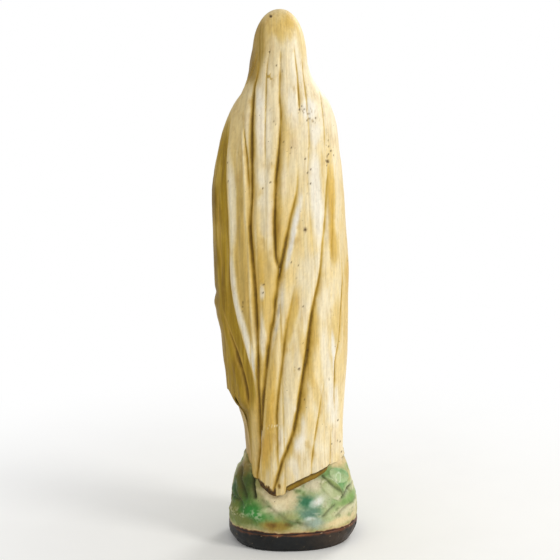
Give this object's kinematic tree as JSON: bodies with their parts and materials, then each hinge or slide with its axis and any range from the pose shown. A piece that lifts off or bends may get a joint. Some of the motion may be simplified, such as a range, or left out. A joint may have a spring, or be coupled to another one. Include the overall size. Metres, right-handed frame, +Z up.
{
  "type": "madonna statue",
  "caption": "Standing robed figure with joined hands, a long veil-mantle over head and back, on a painted rock mound and a rounded foot slab.",
  "frame": {"origin": "middle of the plinth's flat underside", "axes": "+Z up; the figure faces -Y and its left hand is on the +X side"},
  "size_m": [0.1049, 0.0834, 0.4],
  "materials": {
    "dark_paint": "worn dark brown paint with a reddish edge",
    "rock_paint": "mottled green, cream and brown paint",
    "gown_paint": "cream paint with ochre in the folds",
    "mantle_paint": "cream paint with golden-brown patina in the folds",
    "flesh_paint": "satin flesh paint",
    "gilding": "rubbed gold paint",
    "sash_paint": "faded blue paint",
    "steel_wire": "plain drawn wire",
    "bare_wood": "unfinished turned softwood"
  },
  "bodies": {
    "root": {"plinth": "dark_paint", "rock_mound": "rock_paint", "gown": "gown_paint", "mantle": "mantle_paint", "head": "flesh_paint", "left_sleeve": "gown_paint", "right_sleeve": "gown_paint", "left_hand": "flesh_paint", "right_hand": "flesh_paint", "left_hand_wire": "steel_wire", "right_hand_wire": "steel_wire", "left_foot": "flesh_paint", "right_foot": "flesh_paint", "left_rose": "gilding", "right_rose": "gilding", "sash_band": "sash_paint", "sash_knot": "sash_paint", "left_sash_tail": "sash_paint", "right_sash_tail": "sash_paint", "rosary_loop": "gilding", "rosary_cross": "gilding", "core_rod": "bare_wood", "neck_dowel": "bare_wood"}
  },
  "joints": []
}
